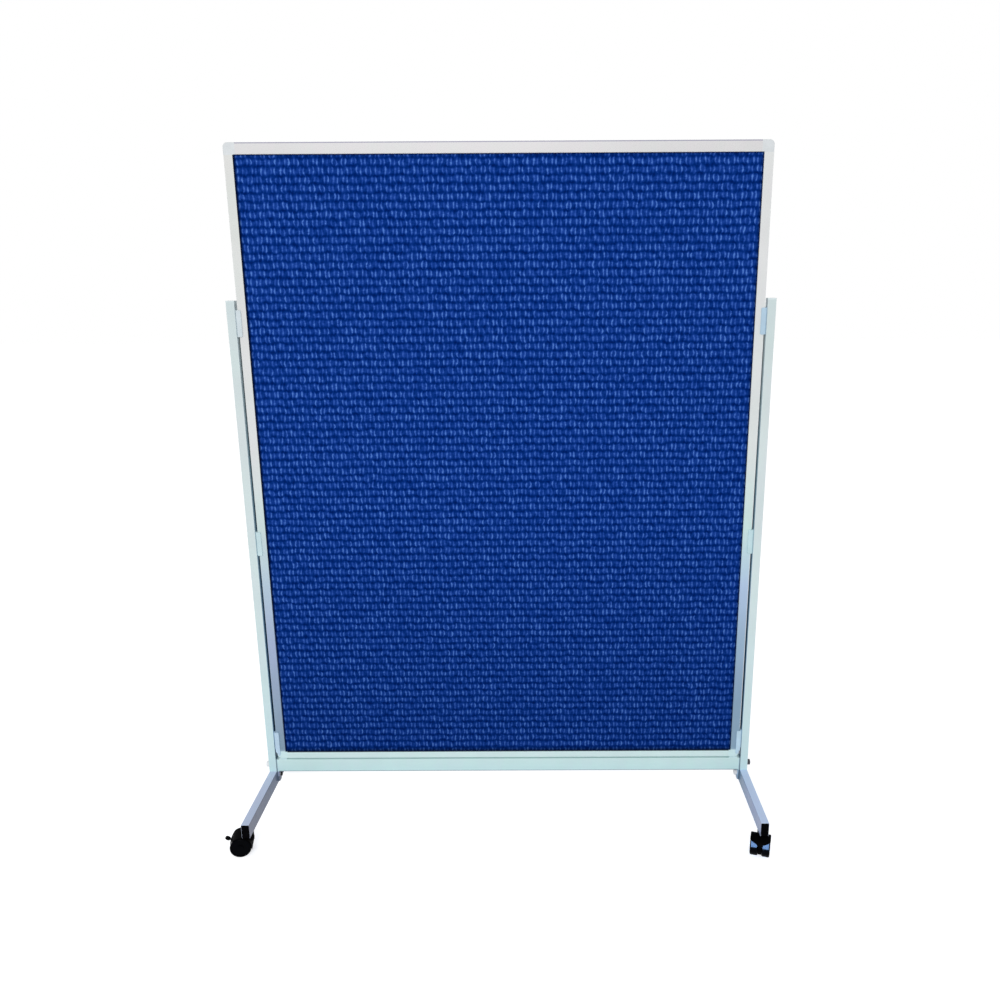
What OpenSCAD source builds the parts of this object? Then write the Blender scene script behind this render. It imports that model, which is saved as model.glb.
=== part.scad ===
// Rolling partition: a cloth-covered pinboard in a slim frame, held between two uprights on a castor stand.
// The board faces -Y, +X is to its right, +Z is up, and the floor under its middle is the origin.

/* [Panel] */
// Width over the frame
panel_w = 1200; // [800:10:1500]
// Height over the frame
panel_h = 1500; // [1200:10:1800]
// Thickness of the frame, front to back
panel_t = 20; // [18:0.5:24]
// Width of the stiles' face
stile_face = 21; // [19:0.5:24]
// Width of the top rail's face
rail_top_face = 25; // [21:0.5:25.5]
// Width of the bottom rail's face
rail_bottom_face = 18.5; // [17:0.5:23]
// Width of the frame's hollow outer box
frame_box = 8; // [7:0.5:9]
// Wall of the frame's outer box
frame_wall = 1.6; // [1.2:0.1:2]
// Thickness of the lips that hold the board
lip_t = 1.8; // [1.5:0.1:2]
// Rounding along the frame's outer edges
frame_edge_r = 1.5; // [1:0.1:2]
// Length of a corner piece along each side
corner_leg = 26; // [26:1:40]
// Outside radius of a corner piece
corner_r = 10; // [9:0.5:14]
// Length of a corner piece's spigots inside the frame
spigot_l = 18; // [10:1:30]
// Thickness of the fibreboard core
core_t = 14; // [11:0.5:14]
// Clearance between the board's edge and the frame's box
board_play = 1; // [0.5:0.1:2]
// Thickness of the cloth
cloth_t = 1; // [0.5:0.1:1.2]
// Depth by which the cloth's rim is pressed down along the lips
cloth_sink = 0.3; // [0.1:0.1:0.4]
// Width of the pressed rim that shows inside the lips
cloth_margin = 3; // [1:0.5:6]

/* [Stand] */
// Width of the tubes of uprights and feet
tube_w = 20; // [18:0.5:22]
// Depth of uprights and crossbar, front to back
tube_d = 20; // [18:0.5:24]
// Wall of all tubes
tube_wall = 1.5; // [1:0.1:2]
// Outside corner radius of all tubes
tube_r = 1.5; // [1:0.1:1.5]
// Length of the uprights
upright_h = 1200; // [900:10:1400]
// Space between an upright and the panel
side_gap = 5.5; // [5:0.1:8]
// Height of the crossbar
bar_h = 35; // [30:1:45]
// Length of the feet's tubes
foot_l = 477; // [380:1:600]
// Height of the feet
foot_h = 35; // [33:1:40]
// Height of the pads between crossbar and panel
seat_h = 4; // [3:0.5:6]
// Width of such a pad
seat_w = 21; // [12:1:40]
// Distance of a pad from the panel's side
seat_inset = 3; // [2:1:40]
// Corner radius of a pad
seat_r = 1; // [0.5:0.5:3]
// Thickness of the crossbar's end plates
plate_t = 5; // [4:0.5:6]
// Radius of an end plate's lower corners
plate_r = 5; // [2:0.5:6]
// Reach of an end plate below the crossbar
plate_drop = 30; // [26:1:32]
// Thickness of the upright caps' flange
cap_flange = 3; // [2:0.5:4]
// Thickness of the foot caps' flange
foot_cap_flange = 1.5; // [1:0.5:3]
// Rim of tube left bare round a foot cap
foot_cap_inset = 1; // [0:0.1:1.2]
// Length of the tube caps inside the tube
cap_plug = 12; // [8:1:14]

/* [Clips] */
// Height of the upper and middle clips
clip_h = 60; // [40:1:80]
// Height of the lowest clips
low_clip_h = 66; // [40:1:70]
// Lap of a clip over the frame's face
clip_lap = 8; // [6:0.5:12]
// Gap between a clip's flanges and the upright
clip_step = 3; // [1:0.5:3]
// Width of a clip's foot on the upright
clip_foot_w = 14; // [10:1:15]
// Thickness of a clip's flanges
clip_flange = 2.5; // [2:0.1:3.5]
// Corner radius of a clip's flanges
clip_r = 3; // [2:0.5:5]
// Height of the slanted cut under the lowest clips' outer side
clip_slant = 16; // [0:1:18]
// Gap between a clip's web and the panel's side
clip_play = 0.5; // [0.3:0.1:1]
// Distance of the top clips' middle below the uprights' upper end
top_clip_drop = 48; // [45:1:100]
// Height of the middle clips' middle above the panel's lower edge
mid_clip_z = 586; // [300:1:700]
// Height of the lowest clips' middle above the panel's lower edge
low_clip_z = 42; // [38:1:80]
// Distance between the two screws of a clip
screw_pitch = 36; // [20:1:36]
// Diameter of the clip screws
screw_d = 3.5; // [3:0.5:4]
// Diameter of their heads
screw_head_d = 7; // [6:0.5:8]
// Height of their heads
screw_head_h = 2.2; // [1.5:0.1:2.5]
// Reach of the screws past the tube's wall
screw_end = 3; // [2:0.5:8]

/* [Bolts] */
// Distance of the lower bolts below the feet's top
low_bolt_drop = 12; // [11:0.5:17]
// Diameter of the frame bolts
bolt_d = 6; // [5:0.5:6]
// Width of their hexagon heads and nuts across the flats
bolt_af = 10; // [10:0.5:11]
// Height of their heads
bolt_head_h = 4; // [3:0.1:4.5]
// Height of their nuts
nut_h = 5; // [4:0.5:5.5]
// Reach of the bolts past their nuts
bolt_end = 1; // [0.5:0.5:2]
// Diameter of their washers
washer_d = 12; // [11:0.5:13]
// Thickness of their washers
washer_t = 1.6; // [1:0.1:2]
// Wall of the domed bolt covers
cover_wall = 1.2; // [0.8:0.1:1.5]
// Height of a cover's dome over the bolt head
cover_dome = 2; // [1.5:0.5:4]

/* [Castors] */
// Height of a castor from floor to foot
castor_h = 54; // [54:0.5:60]
// Diameter of the wheels
wheel_d = 50; // [48:0.5:50]
// Width of one wheel
wheel_w = 19; // [17:0.5:20]
// Shoulder radius of the wheels
wheel_shoulder = 3.5; // [2:0.5:5]
// Wall of a wheel's hub round the axle
hub_wall = 3.5; // [3:0.5:5]
// Thickness of a wheel's rim
rim_t = 4.5; // [4:0.5:6]
// Depth of the ring-shaped dish in a wheel's outer face
dish_depth = 1.6; // [1:0.1:2]
// Width of the step between the hub and the dish
dish_step = 1; // [0.5:0.5:2]
// Gap between a wheel's inner face and the web
wheel_gap = 0.5; // [0.4:0.1:1]
// Distance from stem to axle
trail = 21; // [20:0.5:22]
// Thickness of the web between the wheels
web_w = 7; // [7:0.5:8]
// Radius of the bare part of the web
web_r = 22; // [18:0.5:23]
// Thickness of the hood over the wheels
hood_wall = 1.6; // [1.2:0.1:1.6]
// Rounding of the hood's edges
hood_edge_r = 1.2; // [0.5:0.1:1.2]
// Height of the hood's front edge over the axle, at the sides
hood_front_side = 22.5; // [15:0.5:24]
// Height of the hood's front edge over the axle, in the middle
hood_front_mid = 11; // [6:0.5:14]
// Distance from the axle to where the hood's front edge starts
hood_front_out = 10; // [8:0.5:11]
// Angle by which the hood reaches below the axle under the stem
hood_rear_dip = 10; // [0:1:15]
// Angle by which the hood reaches below the axle in front
hood_front_dip = 5; // [0:1:10]
// Reach of the hood past the wheels' outer faces
hood_over = 0.4; // [0.2:0.1:1]
// Radius of the boss that holds the stem
boss_r = 9.5; // [8:0.5:10]
// Height of the boss's lower end above the axle
boss_up = 8; // [5:0.5:12]
// Diameter of the axle
axle_d = 6; // [5:0.5:8]
// Diameter of the stem
stem_d = 10; // [8:0.5:10]
// Length of the stem's socket in the foot
stem_l = 29; // [20:1:30]
// Distance of the stem's upper end below the socket's
stem_play = 1; // [0.5:0.5:2]
// Depth of the stem's seat below the top of the wheels' hollow
stem_sink = 4.5; // [3.5:0.5:6]
// Diameter of the stem's tail in the web
tail_d = 4; // [3:0.5:5]
// Height of the tail's lower end above the axle
tail_up = 4; // [4:0.5:8]
// Distance from stem to the end of the foot's tube
stem_inset = 26.5; // [24:0.5:60]
// Wall of the stem's socket
socket_wall = 2; // [1.5:0.1:2.2]
// Thickness of the socket's flange
socket_flange = 1; // [0.8:0.1:1.2]
// Rim of the foot left bare beside the socket's flange
socket_inset = 0.5; // [0:0.1:1]
// Turn of the front left castor about its stem
turn_front_left = -79; // [-180:1:180]
// Turn of the front right castor
turn_front_right = -18; // [-180:1:180]
// Turn of the rear left castor
turn_rear_left = 162; // [-180:1:180]
// Turn of the rear right castor
turn_rear_right = 101; // [-180:1:180]

/* [Brake levers] */
// Diameter of a lever's round paddle
paddle_d = 13; // [10:0.5:15]
// Thickness of the paddle
paddle_t = 3; // [2.5:0.5:4]
// Distance from pivot to the paddle's middle
paddle_reach = 12.5; // [12:0.5:18]
// Upward tilt of the released lever
lever_tilt = 29; // [25:1:45]
// Thickness of the lever's arm between the web's cheeks
lever_w = 3; // [2:0.5:3]
// Height of the lever's arm
arm_h = 4; // [3:0.5:5]
// Radius of the lever's eye
eye_r = 2.8; // [2.4:0.1:3]
// Diameter of the lever's pivot
pivot_d = 2.5; // [2:0.5:3]
// Distance of the pivot from the axle, level
pivot_out = 19; // [18:0.5:20]
// Height of the pivot above the axle
pivot_up = 11; // [10:0.5:13]
// Height of the lever's slot above its pivot
slot_up = 9; // [8:0.5:12]

/* [Fits] */
// Radial clearance of stems, wheels and levers that turn
run_fit = 0.05; // [0.02:0.01:0.1]
// Clearance of pieces that slide together on assembly
slide_fit = 0.2; // [0.1:0.05:0.3]
// Radial clearance of bolts and screws in their holes
bolt_fit = 0.2; // [0.1:0.05:0.4]
// Clearance between moving faces
face_gap = 0.3; // [0.3:0.05:0.5]

/* [Hidden] */
castor_names = ["front_left", "front_right", "rear_left", "rear_right"];
$fn = 48;
eps = 0.01;
// How far the shapes of one solid run into each other, and cuts run past it
lap = 1;
// Segments of large rounds
fine = 96;
// Heights, from the floor up
foot_z = castor_h;
foot_top = foot_z + foot_h;
bar_top = foot_top + bar_h;
panel_z = bar_top + seat_h;
// Sideways places
tube_in = panel_w / 2 + side_gap;
tube_x = tube_in + tube_w / 2;
tube_out = tube_in + tube_w;
plate_in = tube_in - plate_t;
// The board inside the frame
board_w = panel_w - 2 * (frame_box + board_play);
board_h = panel_h - 2 * (frame_box + board_play);
// The part of the cloth that shows in full thickness between the lips
field_w = panel_w - 2 * (stile_face + cloth_margin);
field_h = panel_h - rail_top_face - rail_bottom_face - 2 * cloth_margin;
field_up = (rail_bottom_face - rail_top_face) / 2;
// Bolt heights: through the crossbar's middle and through the foot
high_bolt_z = foot_top + bar_h / 2;
low_bolt_z = foot_top - low_bolt_drop;
bolt_cover_r = bolt_af / sqrt(3) + slide_fit;
// Clips: height of each pair's middle above the panel's lower edge, its own height and its slant
top_clip_z = min(foot_top + upright_h - top_clip_drop - panel_z, panel_h - corner_leg - clip_h / 2);
clips = [[top_clip_z, clip_h, 0], [mid_clip_z, clip_h, 0], [low_clip_z, low_clip_h, clip_slant]];
clip_in = panel_w / 2 - clip_lap;
clip_web = side_gap - clip_play;
clip_half_t = panel_t / 2 + slide_fit + clip_flange;
// Castors
stem_y = foot_l / 2 - stem_inset;
socket_d = stem_d + 2 * (run_fit + socket_wall);
wheel_r = wheel_d / 2;
cavity_r = wheel_r + 2 * face_gap;
hood_out_r = cavity_r + hood_wall;
hood_top = castor_h - socket_flange - face_gap;
wheel_in = web_w / 2 + wheel_gap;
wheel_out = wheel_in + wheel_w;
hood_half_w = wheel_out + hood_over;
axle_half_l = wheel_out - dish_depth - face_gap;
stem_bottom = wheel_r + cavity_r - stem_sink;
// Place and turn of each castor, in the order of castor_names
castor_places = [
    [-1, -1, turn_front_left], [1, -1, turn_front_right],
    [-1, 1, turn_rear_left], [1, 1, turn_rear_right],
];
has_brake = [true, false, false, true];
white_grey = "#DCDDDD";
mint_grey = "#C8DFE0";

// ---- Outlines ----

// Rectangle with rounded corners
module round_rect(w, h, r) {
    square([w - 2 * r, h], center = true);
    square([w, h - 2 * r], center = true);
    for (sx = [-1, 1], sy = [-1, 1])
        translate([sx * (w / 2 - r), sy * (h / 2 - r)]) circle(r = r);
}

// Section of a rectangular tube
module tube_section(w, h) {
    difference() {
        round_rect(w, h, tube_r);
        square([w - 2 * tube_wall, h - 2 * tube_wall], center = true);
    }
}

// The frame's outer box without its chamber, from the outside (x = 0) inwards
module box_section() {
    translate([frame_edge_r, -panel_t / 2]) square([frame_box - frame_edge_r, panel_t]);
    translate([0, -panel_t / 2 + frame_edge_r]) square([frame_edge_r + eps, panel_t - 2 * frame_edge_r]);
    for (s = [-1, 1])
        translate([frame_edge_r, s * (panel_t / 2 - frame_edge_r)]) circle(r = frame_edge_r);
}

// One lip of the frame, up to the width of its face, with a rounded inner edge
module lip_section(face) {
    intersection() {
        union() {
            translate([frame_box - lap, panel_t / 2 - lip_t])
                square([face - lip_t - frame_box + lap, lip_t]);
            translate([face - lip_t, panel_t / 2 - lip_t]) circle(r = lip_t);
        }
        translate([frame_box - lap, panel_t / 2 - lip_t]) square([face, lip_t]);
    }
}

// Extruded section of the panel's frame: hollow box and two lips
module frame_section(face) {
    difference() {
        union() {
            box_section();
            lip_section(face);
            mirror([0, 1]) lip_section(face);
        }
        translate([frame_wall, -panel_t / 2 + frame_wall])
            square([frame_box - 2 * frame_wall, panel_t - 2 * frame_wall]);
    }
}

// ---- Panel ----

// Width of the face of the upper (1) or lower (-1) rail
function rail_face(sz) = sz > 0 ? rail_top_face : rail_bottom_face;

// Places its children as drawn for the lower left corner, mirrored for the other corners
module at_corner(sx, sz) {
    translate([sx * panel_w / 2, 0, panel_z + (sz > 0 ? panel_h : 0)])
        mirror([sx > 0 ? 1 : 0, 0, 0]) mirror([0, 0, sz > 0 ? 1 : 0]) children();
}

module frame_rail(sz) {
    color(white_grey) at_corner(-1, sz) translate([corner_leg, 0, 0]) rotate([90, 0, 90])
        mirror([1, -1]) linear_extrude(panel_w - 2 * corner_leg) frame_section(rail_face(sz));
}

module frame_stile(sx) {
    color(white_grey) at_corner(sx, -1) translate([0, 0, corner_leg])
        linear_extrude(panel_h - 2 * corner_leg) frame_section(stile_face);
}

// Moulded corner: the box swept round the corner, solid legs, two flat cheeks and two spigots
module corner_piece(sx, sz) {
    chamber_w = frame_box - 2 * frame_wall - slide_fit;
    chamber_t = panel_t - 2 * frame_wall - slide_fit;
    color(white_grey) at_corner(sx, sz) {
        translate([corner_r, 0, corner_r]) rotate([90, 0, 0]) rotate([0, 0, 180])
            rotate_extrude(angle = 90, $fn = fine) translate([corner_r, 0]) mirror([1, 0]) box_section();
        translate([0, 0, corner_r]) linear_extrude(corner_leg - corner_r) box_section();
        translate([corner_r, 0, 0]) rotate([90, 0, 90]) mirror([1, -1])
            linear_extrude(corner_leg - corner_r) box_section();
        for (s = [-1, 1])
            translate([0, s * (panel_t - lip_t) / 2 + lip_t / 2, 0]) rotate([90, 0, 0])
                linear_extrude(lip_t) difference() {
                    translate([frame_box - lap, frame_box - lap]) square(corner_leg - frame_box + lap);
                    translate([stile_face, rail_face(sz)]) square(corner_leg);
                }
        translate([(frame_box - chamber_w) / 2, -chamber_t / 2, corner_leg - lap])
            cube([chamber_w, chamber_t, spigot_l + lap]);
        translate([corner_leg - lap, -chamber_t / 2, (frame_box - chamber_w) / 2])
            cube([spigot_l + lap, chamber_t, chamber_w]);
    }
}

module pinboard_core() {
    color("#B79A6E") translate([-board_w / 2, -core_t / 2, panel_z + (panel_h - board_h) / 2])
        cube([board_w, core_t, board_h]);
}

// Cloth on one face of the board: a pressed rim under the lips and a raised field between them
module cloth(s) {
    color("#16358F") translate([0, 0, panel_z + panel_h / 2]) rotate([s * 90, 0, 0]) mirror([0, 0, 1])
        translate([0, 0, core_t / 2]) {
            linear_extrude(cloth_t - cloth_sink) square([board_w, board_h], center = true);
            translate([0, s * field_up]) linear_extrude(cloth_t) square([field_w, field_h], center = true);
        }
}

// Pads that carry the panel on the crossbar
module seat_pads() {
    color(mint_grey) for (s = [-1, 1])
        translate([s * (panel_w / 2 - seat_inset - seat_w / 2), 0, bar_top])
            linear_extrude(seat_h) round_rect(seat_w, panel_t, seat_r);
}

// ---- Stand ----

module upright(s) {
    color(mint_grey) difference() {
        translate([s * tube_x, 0, foot_top]) linear_extrude(upright_h) tube_section(tube_w, tube_d);
        translate([s * tube_x, 0, high_bolt_z]) rotate([0, 90, 0])
            cylinder(d = bolt_d + 2 * bolt_fit, h = tube_w + 2 * lap, center = true);
        for (clip = clips, dz = [-1, 1])
            translate([s * tube_in, 0, screw_z(clip, dz)]) rotate([0, 90, 0])
                cylinder(d = screw_d + 2 * bolt_fit, h = 3 * tube_wall, center = true);
    }
}

// Cap of a tube that ends at z = 0: flange above, hollow plug below
module tube_cap(w, h, flange, inset) {
    plug_w = w - 2 * tube_wall - slide_fit;
    plug_h = h - 2 * tube_wall - slide_fit;
    linear_extrude(flange) round_rect(w - 2 * inset, h - 2 * inset, tube_r);
    translate([0, 0, -cap_plug]) linear_extrude(cap_plug + eps) difference() {
        square([plug_w, plug_h], center = true);
        square([plug_w - 2 * tube_wall, plug_h - 2 * tube_wall], center = true);
    }
}

module upright_cap(s) {
    color(mint_grey) translate([s * tube_x, 0, foot_top + upright_h])
        tube_cap(tube_w, tube_d, cap_flange, 0);
}

module crossbar() {
    color(mint_grey) translate([-plate_in, 0, foot_top + bar_h / 2]) rotate([90, 0, 90])
        linear_extrude(2 * plate_in) tube_section(tube_d, bar_h);
}

// End plate of the crossbar: bolted to the upright above and to the foot's inner side below
module crossbar_plate(s) {
    color(mint_grey) translate([s * (plate_in + plate_t / 2), 0, 0]) rotate([90, 0, 90])
        linear_extrude(plate_t, center = true) difference() {
            union() {
                translate([-tube_d / 2, foot_top - plate_drop + plate_r])
                    square([tube_d, bar_h + plate_drop - plate_r]);
                translate([-tube_d / 2 + plate_r, foot_top - plate_drop])
                    square([tube_d - 2 * plate_r, plate_r + lap]);
                for (e = [-1, 1])
                    translate([e * (tube_d / 2 - plate_r), foot_top - plate_drop + plate_r])
                        circle(r = plate_r);
            }
            for (z = [low_bolt_z, high_bolt_z]) translate([0, z]) circle(d = bolt_d + 2 * bolt_fit);
        }
}

module foot(s) {
    color(mint_grey) difference() {
        translate([s * tube_x, foot_l / 2, foot_z + foot_h / 2]) rotate([90, 0, 0])
            linear_extrude(foot_l) tube_section(tube_w, foot_h);
        translate([s * (tube_in + tube_wall / 2), 0, low_bolt_z]) rotate([0, 90, 0])
            cylinder(d = bolt_d + 2 * bolt_fit, h = 3 * tube_wall, center = true);
        for (e = [-1, 1]) translate([s * tube_x, e * stem_y, foot_z + tube_wall / 2])
            cylinder(d = socket_d + 2 * run_fit, h = 3 * tube_wall, center = true);
    }
}

module foot_cap(sx, sy) {
    color("#15161A") translate([sx * tube_x, sy * foot_l / 2, foot_z + foot_h / 2])
        rotate([sy > 0 ? -90 : 90, 0, 0]) tube_cap(tube_w, foot_h, foot_cap_flange, foot_cap_inset);
}

// ---- Clips ----

// Height of a clip's upper (dz = 1) or lower (dz = -1) screw; both keep clear of the slant
function screw_z(clip, dz) = panel_z + clip[0] + (clip[2] + dz * screw_pitch) / 2;

// Channel with a narrow foot that is screwed to the upright and grips the frame's stile
module clip(s, place) {
    middle = panel_z + clips[place][0];
    height = clips[place][1];
    slant = clips[place][2];
    color("#C2D6E8") translate([0, 0, middle]) mirror([s < 0 ? 1 : 0, 0, 0]) difference() {
        translate([0, clip_half_t, 0]) rotate([90, 0, 0]) linear_extrude(2 * clip_half_t) {
            translate([clip_in + clip_r, -height / 2]) square([clip_lap + side_gap - clip_r, height]);
            translate([clip_in, -height / 2 + clip_r]) square([clip_r + eps, height - 2 * clip_r]);
            for (e = [-1, 1]) translate([clip_in + clip_r, e * (height / 2 - clip_r)]) circle(r = clip_r);
        }
        translate([clip_in - lap, -panel_t / 2 - slide_fit, -height / 2 - lap])
            cube([tube_in - clip_web - clip_in + lap, panel_t + 2 * slide_fit, height + 2 * lap]);
        for (e = [-1, 1]) translate([tube_in - clip_step, e * (clip_foot_w + clip_half_t) / 2, 0])
            translate([0, -clip_half_t / 2, -height / 2 - lap])
                cube([clip_step + lap, clip_half_t, height + 2 * lap]);
        if (slant > 0) translate([0, clip_half_t + lap, -height / 2]) rotate([90, 0, 0])
            linear_extrude(2 * (clip_half_t + lap))
                polygon([
                    [clip_in + clip_r, 0], [tube_in + eps, slant],
                    [tube_in + eps, -lap], [clip_in + clip_r, -lap],
                ]);
        for (dz = [-1, 1]) translate([tube_in, 0, screw_z(clips[place], dz) - middle]) rotate([0, -90, 0]) {
            cylinder(d = screw_d + 2 * bolt_fit, h = clip_web + lap);
            translate([0, 0, clip_web - screw_head_h - slide_fit])
                cylinder(d = screw_head_d + 2 * bolt_fit, h = screw_head_h + lap);
        }
    }
}

module clip_screws() {
    color("#9A9DA0") for (s = [-1, 1], clip = clips, dz = [-1, 1])
        translate([s * tube_in, 0, screw_z(clip, dz)]) rotate([0, -s * 90, 0]) {
            translate([0, 0, clip_web - screw_head_h - slide_fit])
                cylinder(d = screw_head_d, h = screw_head_h);
            translate([0, 0, -tube_wall - screw_end])
                cylinder(d = screw_d, h = clip_web + tube_wall + screw_end - screw_head_h);
        }
}

// ---- Bolts ----

// Places its children with +Z outwards where a bolt's head bears: four places, or those of the covers
module at_bolts(covered = false) {
    for (s = [-1, 1]) {
        translate([s * tube_out, 0, high_bolt_z]) rotate([0, s * 90, 0]) children();
        if (!covered || s > 0)
            translate([s * plate_in, 0, low_bolt_z]) rotate([0, -s * 90, 0]) children();
    }
}

// Upper bolts pass the upright and the plate, lower ones the plate and the foot's inner wall
function bolt_grip(high) = high ? tube_w + plate_t : plate_t + tube_wall;

module one_bolt(high) {
    translate([0, 0, washer_t]) cylinder(d = bolt_af / cos(30), h = bolt_head_h, $fn = 6);
    translate([0, 0, -bolt_grip(high) - nut_h - bolt_end])
        cylinder(d = bolt_d, h = bolt_grip(high) + nut_h + bolt_end + washer_t + eps);
}

module one_nut(high) {
    translate([0, 0, -bolt_grip(high) - nut_h]) difference() {
        cylinder(d = bolt_af / cos(30), h = nut_h, $fn = 6);
        translate([0, 0, -lap]) cylinder(d = bolt_d + 2 * run_fit, h = nut_h + 2 * lap);
    }
}

module frame_bolts() {
    color("#2A2B2E") for (s = [-1, 1]) {
        translate([s * tube_out, 0, high_bolt_z]) rotate([0, s * 90, 0]) one_bolt(true);
        translate([s * plate_in, 0, low_bolt_z]) rotate([0, -s * 90, 0]) one_bolt(false);
    }
}

module frame_nuts() {
    color("#9A9DA0") for (s = [-1, 1]) {
        translate([s * tube_out, 0, high_bolt_z]) rotate([0, s * 90, 0]) one_nut(true);
        translate([s * plate_in, 0, low_bolt_z]) rotate([0, -s * 90, 0]) one_nut(false);
    }
}

module frame_washers() {
    color("#9A9DA0") at_bolts() difference() {
        cylinder(d = washer_d, h = washer_t);
        translate([0, 0, -lap]) cylinder(d = bolt_d + 2 * run_fit, h = washer_t + 2 * lap);
    }
}

// Domed cover over a bolt's head; the left foot's lower bolt is bare
module bolt_covers() {
    inner_h = washer_t + bolt_head_h + slide_fit;
    outer_r = max(bolt_cover_r, washer_d / 2 + slide_fit) + cover_wall;
    dome_r = (outer_r * outer_r + cover_dome * cover_dome) / (2 * cover_dome);
    color("#F2F2F2") at_bolts(covered = true) difference() {
        union() {
            cylinder(r = outer_r, h = inner_h + cover_wall);
            intersection() {
                translate([0, 0, inner_h + cover_wall + cover_dome - dome_r]) sphere(r = dome_r);
                cylinder(r = outer_r, h = inner_h + cover_wall + cover_dome);
            }
        }
        translate([0, 0, -lap]) cylinder(r = outer_r - cover_wall, h = inner_h + lap);
    }
}

// ---- Castors ----

module castor_sockets() {
    color("#15161A") for (sx = [-1, 1], sy = [-1, 1]) translate([sx * tube_x, sy * stem_y, foot_z])
        difference() {
            union() {
                translate([0, 0, -socket_flange])
                    cylinder(d = tube_w - 2 * socket_inset, h = socket_flange);
                translate([0, 0, -eps]) cylinder(d = socket_d, h = stem_l + eps);
            }
            translate([0, 0, -socket_flange - lap])
                cylinder(d = stem_d + 2 * run_fit, h = socket_flange + stem_l + 2 * lap);
        }
}

// Puts its children at castor i; they trail towards -Y from a stem on the Z axis
module at_castor(i) {
    place = castor_places[i];
    translate([place[0] * tube_x, place[1] * stem_y, 0]) rotate([0, 0, place[2]]) children();
}

// Turns its children's Z axis onto the wheels' axle, with their -X upwards
module on_axle() {
    translate([0, -trail, wheel_r]) rotate([0, 90, 0]) children();
}

// Hood before its hollows are cut: a slice of a wheel-like body with rounded edges, about the axle
module hood_slice() {
    on_axle() rotate([0, 0, 90 - hood_rear_dip])
        rotate_extrude(angle = 180 + hood_rear_dip + hood_front_dip, $fn = fine) {
            translate([0, -hood_half_w]) square([hood_out_r - hood_edge_r, 2 * hood_half_w]);
            translate([0, hood_edge_r - hood_half_w]) square([hood_out_r, 2 * (hood_half_w - hood_edge_r)]);
            for (e = [-1, 1])
                translate([hood_out_r - hood_edge_r, e * (hood_half_w - hood_edge_r)])
                    circle(r = hood_edge_r);
        }
}

// Front opening of the hood: its edge falls from both sides to the middle
module hood_opening() {
    side = hood_half_w + lap;
    translate([0, -trail - hood_front_out, 0]) rotate([90, 0, 0]) linear_extrude(hood_out_r) polygon([
        [0, wheel_r + hood_front_mid], [side, wheel_r + hood_front_side], [side, 0],
        [-side, 0], [-side, wheel_r + hood_front_side],
    ]);
}

// Web between the wheels: a bare disc below, filled up to the arch above
module castor_web() {
    on_axle() cylinder(r = web_r, h = web_w, center = true);
    intersection() {
        on_axle() cylinder(r = cavity_r + hood_wall / 2, h = web_w, center = true, $fn = fine);
        translate([-web_w, -trail - hood_out_r, wheel_r]) cube([2 * web_w, 2 * hood_out_r, hood_out_r]);
    }
}

// Slot and pivot holes for a brake lever
module lever_slot() {
    slot_w = lever_w + 2 * face_gap;
    translate([0, -trail - pivot_out, wheel_r + pivot_up]) {
        rotate([0, 90, 0]) cylinder(r = eye_r + face_gap, h = slot_w, center = true);
        translate([-slot_w / 2, -hood_out_r, -eye_r - face_gap]) cube([slot_w, hood_out_r, eye_r + slot_up]);
        rotate([0, 90, 0]) cylinder(d = pivot_d + 2 * run_fit, h = web_w + 2 * lap, center = true);
    }
}

module castor_hood(i) {
    color("#15161A") at_castor(i) difference() {
        union() {
            difference() {
                hood_slice();
                hood_opening();
            }
            translate([0, 0, wheel_r + boss_up]) cylinder(r = boss_r, h = hood_top - wheel_r - boss_up);
            castor_web();
        }
        for (e = [-1, 1]) translate([e * (web_w / 2 + hood_half_w), 0, 0])
            on_axle() cylinder(r = cavity_r, h = 2 * hood_half_w, center = true, $fn = fine);
        on_axle() cylinder(d = axle_d, h = web_w + 2 * lap, center = true);
        translate([0, 0, stem_bottom]) cylinder(d = stem_d, h = castor_h);
        translate([0, 0, wheel_r + tail_up]) cylinder(d = tail_d, h = castor_h);
        if (has_brake[i]) lever_slot();
    }
}

module castor_stem(i) {
    color("#8E9194") at_castor(i) {
        translate([0, 0, stem_bottom]) cylinder(d = stem_d, h = foot_z + stem_l - stem_play - stem_bottom);
        translate([0, 0, wheel_r + tail_up]) cylinder(d = tail_d, h = stem_bottom - wheel_r - tail_up + lap);
    }
}

module castor_axle(i) {
    color("#8E9194") at_castor(i) on_axle() cylinder(d = axle_d, h = 2 * axle_half_l, center = true);
}

// Wheel in section: x is the radius, y the place along the axle from the inner face outwards
module wheel_section() {
    hub_r = axle_d / 2 + hub_wall;
    bore_r = axle_d / 2 + run_fit;
    bore_l = axle_half_l - wheel_in + face_gap;
    difference() {
        union() {
            square([wheel_r - wheel_shoulder, wheel_w]);
            translate([0, wheel_shoulder]) square([wheel_r, wheel_w - 2 * wheel_shoulder]);
            for (y = [wheel_shoulder, wheel_w - wheel_shoulder])
                translate([wheel_r - wheel_shoulder, y]) circle(r = wheel_shoulder);
        }
        translate([-lap, -lap]) square([bore_r + lap, bore_l + lap]);
        translate([hub_r, -lap]) square([wheel_r - rim_t - hub_r, wheel_w / 2 + lap]);
        translate([hub_r + dish_step, wheel_w - dish_depth])
            square([wheel_r - rim_t - hub_r - dish_step, dish_depth + lap]);
        translate([-wheel_r, -lap]) square([wheel_r, wheel_w + 2 * lap]);
    }
}

module castor_wheel(i, side) {
    color("#1B1C21") at_castor(i) translate([side * wheel_in, -trail, wheel_r]) rotate([0, side * 90, 0])
        rotate_extrude($fn = fine) wheel_section();
}

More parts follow.
